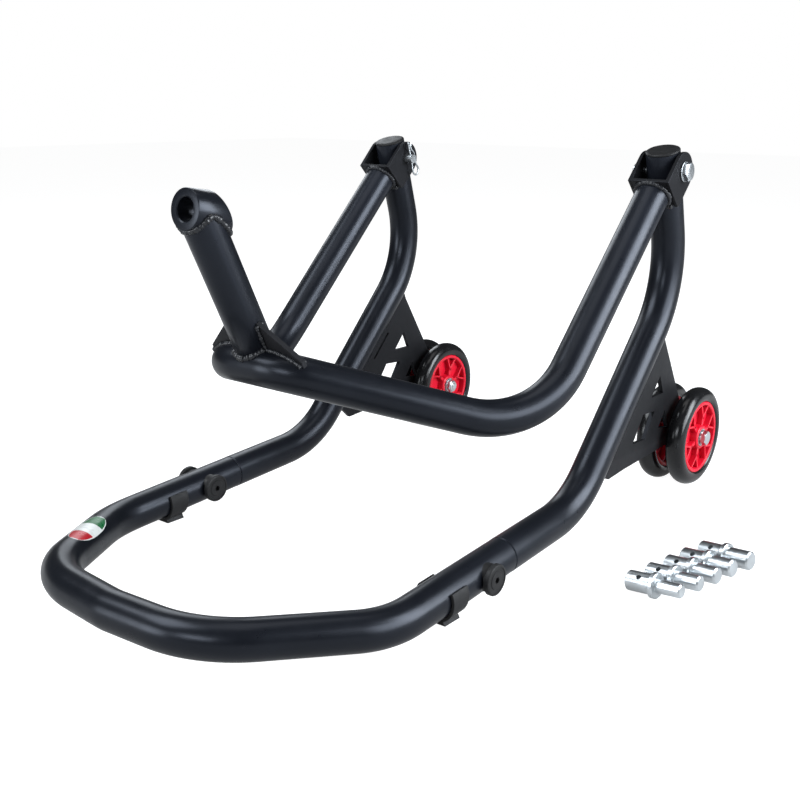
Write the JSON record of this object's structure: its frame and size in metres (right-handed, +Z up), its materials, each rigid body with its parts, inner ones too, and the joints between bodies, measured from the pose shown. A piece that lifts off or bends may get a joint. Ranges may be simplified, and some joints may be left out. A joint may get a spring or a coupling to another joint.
{
  "type": "motorcycle paddock stand",
  "caption": "Front head-lift paddock stand: bent-tube foot loop and side rails on wheels, a hinged lift frame with a head socket, and loose steering-stem spigots.",
  "frame": {"origin": "middle of the whole set's box, stand and loose spigots together, on the floor it stands on", "axes": "+X across the stand from the left rail to the right rail, where the spigots lie, +Y back from the foot loop to the wheels, +Z up"},
  "size_m": [0.6226, 0.8102, 0.4218],
  "materials": {
    "black_tube": "satin black powder coat",
    "black_plate": "flatter black powder coat",
    "pad_rubber": "black moulded rubber",
    "tyre": "smooth black rubber",
    "red_plastic": "red moulded plastic",
    "black_plastic": "black moulded plastic",
    "zinc_steel": "bright zinc plated"
  },
  "bodies": {
    "lower_frame": {"axle_bolt_left": "zinc_steel", "axle_bolt_right": "zinc_steel", "axle_nut_left": "zinc_steel", "axle_nut_right": "zinc_steel", "axle_spacer_left_inner": "zinc_steel", "axle_spacer_left_outer": "zinc_steel", "axle_spacer_right_inner": "zinc_steel", "axle_spacer_right_outer": "zinc_steel", "cross_bolt_insert_right": "zinc_steel", "cross_bolt_left": "zinc_steel", "cross_bolt_right": "zinc_steel", "foot_loop": "black_tube", "foot_pad_left": "pad_rubber", "foot_pad_right": "pad_rubber", "joint_sleeve_left": "black_plate", "joint_sleeve_right": "black_plate", "rail_cap_left": "black_plastic", "rail_cap_right": "black_plastic", "screw_cap_left_inner": "black_plastic", "screw_cap_left_outer": "black_plastic", "screw_cap_right_outer": "black_plastic", "side_rail_left": "black_tube", "side_rail_right": "black_tube", "wheel_plate_left": "black_plate", "wheel_plate_right": "black_plate"},
    "lift_frame": {"lift_tube": "black_tube", "lift_upright": "black_tube", "head_bush": "black_tube", "gusset_left": "black_plate", "gusset_right": "black_plate", "clevis_bracket_left": "black_plate", "clevis_bracket_right": "black_plate", "hinge_pin_left": "zinc_steel", "hinge_pin_right": "zinc_steel", "spring_clip_left": "zinc_steel", "spring_clip_right": "zinc_steel"},
    "wheel_right_outer": {"tyre_right_outer": "tyre", "hub_right_outer": "red_plastic", "bearing_right_outer_a": "zinc_steel", "bearing_right_outer_b": "zinc_steel"},
    "wheel_right_inner": {"tyre_right_inner": "tyre", "hub_right_inner": "red_plastic", "bearing_right_inner_a": "zinc_steel", "bearing_right_inner_b": "zinc_steel"},
    "wheel_left_outer": {"tyre_left_outer": "tyre", "hub_left_outer": "red_plastic", "bearing_left_outer_a": "zinc_steel", "bearing_left_outer_b": "zinc_steel"},
    "wheel_left_inner": {"tyre_left_inner": "tyre", "hub_left_inner": "red_plastic", "bearing_left_inner_a": "zinc_steel", "bearing_left_inner_b": "zinc_steel"},
    "loose_spigot_14": {"spigot_14": "zinc_steel"},
    "loose_spigot_15": {"spigot_15": "zinc_steel"},
    "loose_spigot_17": {"spigot_17": "zinc_steel"},
    "loose_spigot_18": {"spigot_18": "zinc_steel"},
    "loose_spigot_20": {"spigot_20": "zinc_steel"}
  },
  "joints": [
    {"name": "wheel_right_outer_spin", "type": "hinge", "parent": "lower_frame", "child": "wheel_right_outer", "pos_m": [0.14124, 0.34308, 0.062], "axis": [1, 0, 0], "continuous": true},
    {"name": "wheel_right_inner_spin", "type": "hinge", "parent": "lower_frame", "child": "wheel_right_inner", "pos_m": [0.10224, 0.34308, 0.062], "axis": [1, 0, 0], "continuous": true},
    {"name": "wheel_left_outer_spin", "type": "hinge", "parent": "lower_frame", "child": "wheel_left_outer", "pos_m": [-0.29176, 0.34308, 0.062], "axis": [1, 0, 0], "continuous": true},
    {"name": "wheel_left_inner_spin", "type": "hinge", "parent": "lower_frame", "child": "wheel_left_inner", "pos_m": [-0.25276, 0.34308, 0.062], "axis": [1, 0, 0], "continuous": true},
    {"name": "lift_frame_swing", "type": "hinge", "parent": "lower_frame", "child": "lift_frame", "pos_m": [-0.07526, 0.24758, 0.39362], "axis": [-1, 0, 0], "range_deg": [0, 180]},
    {"name": "spigot_14_lift_off", "type": "slide", "parent": "lower_frame", "child": "loose_spigot_14", "axis": [0, 0, 1], "range_m": [0, 0.1]},
    {"name": "spigot_15_lift_off", "type": "slide", "parent": "lower_frame", "child": "loose_spigot_15", "axis": [0, 0, 1], "range_m": [0, 0.1]},
    {"name": "spigot_17_lift_off", "type": "slide", "parent": "lower_frame", "child": "loose_spigot_17", "axis": [0, 0, 1], "range_m": [0, 0.1]},
    {"name": "spigot_18_lift_off", "type": "slide", "parent": "lower_frame", "child": "loose_spigot_18", "axis": [0, 0, 1], "range_m": [0, 0.1]},
    {"name": "spigot_20_lift_off", "type": "slide", "parent": "lower_frame", "child": "loose_spigot_20", "axis": [0, 0, 1], "range_m": [0, 0.1]}
  ]
}
